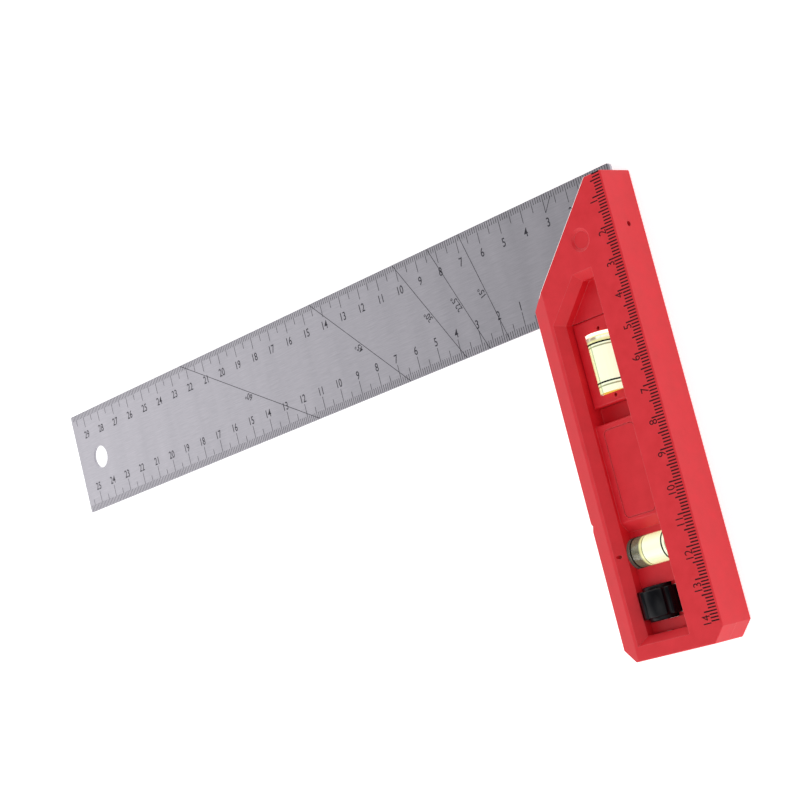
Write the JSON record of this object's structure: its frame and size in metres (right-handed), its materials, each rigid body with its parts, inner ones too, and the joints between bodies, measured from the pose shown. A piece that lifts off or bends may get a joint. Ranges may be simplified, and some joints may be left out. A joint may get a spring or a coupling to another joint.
{
  "type": "try and mitre square",
  "caption": "Fixed try and mitre square: steel rule blade set in a plastic handle with level vials along and across it and a fluted thumb wheel.",
  "frame": {"origin": "middle of the bounding box on the handle's back face", "axes": "+Z through the thickness from the back to the front face, -X along the blade to its free end, -Y along the handle to its foot"},
  "size_m": [0.2984, 0.1498, 0.0145],
  "materials": {
    "red_abs": "fine moulded grain, satin",
    "blade_steel": "brushed along its length, etched scales",
    "bright_steel": "bright zinc plated",
    "clear_acrylic": "clear, polished",
    "level_liquid": "clear yellow-green liquid",
    "air": "clear",
    "black_print": "matte ink",
    "black_plastic": "satin moulded"
  },
  "bodies": {
    "handle": {"blade": "blade_steel", "front_shell": "red_abs", "back_shell": "red_abs", "blade_rivets": "bright_steel", "front_rivet_cap": "red_abs", "back_rivet_cap": "red_abs", "shell_screws": "bright_steel", "vial_1_cradle": "red_abs", "wheel_pin": "bright_steel", "vial_1_body": "clear_acrylic", "vial_1_liquid": "level_liquid", "vial_1_lines": "black_print", "vial_1_plug": "clear_acrylic", "vial_2_body": "clear_acrylic", "vial_2_liquid": "level_liquid", "vial_2_lines": "black_print", "vial_2_plug": "clear_acrylic"},
    "bubble_1": {"vial_1_bubble": "air"},
    "bubble_2": {"vial_2_bubble": "air"},
    "wheel": {"thumb_wheel": "black_plastic"}
  },
  "joints": [
    {"name": "bubble_1_slide", "type": "slide", "parent": "handle", "child": "bubble_1", "axis": [0, -1, 0], "range_m": [0, 0.0133]},
    {"name": "bubble_2_slide", "type": "slide", "parent": "handle", "child": "bubble_2", "axis": [1, 0, 0], "range_m": [0, 0.01]},
    {"name": "thumb_wheel_turn", "type": "hinge", "parent": "handle", "child": "wheel", "pos_m": [0.1238, -0.0588, 0.00725], "axis": [0, 1, 0], "continuous": true}
  ]
}
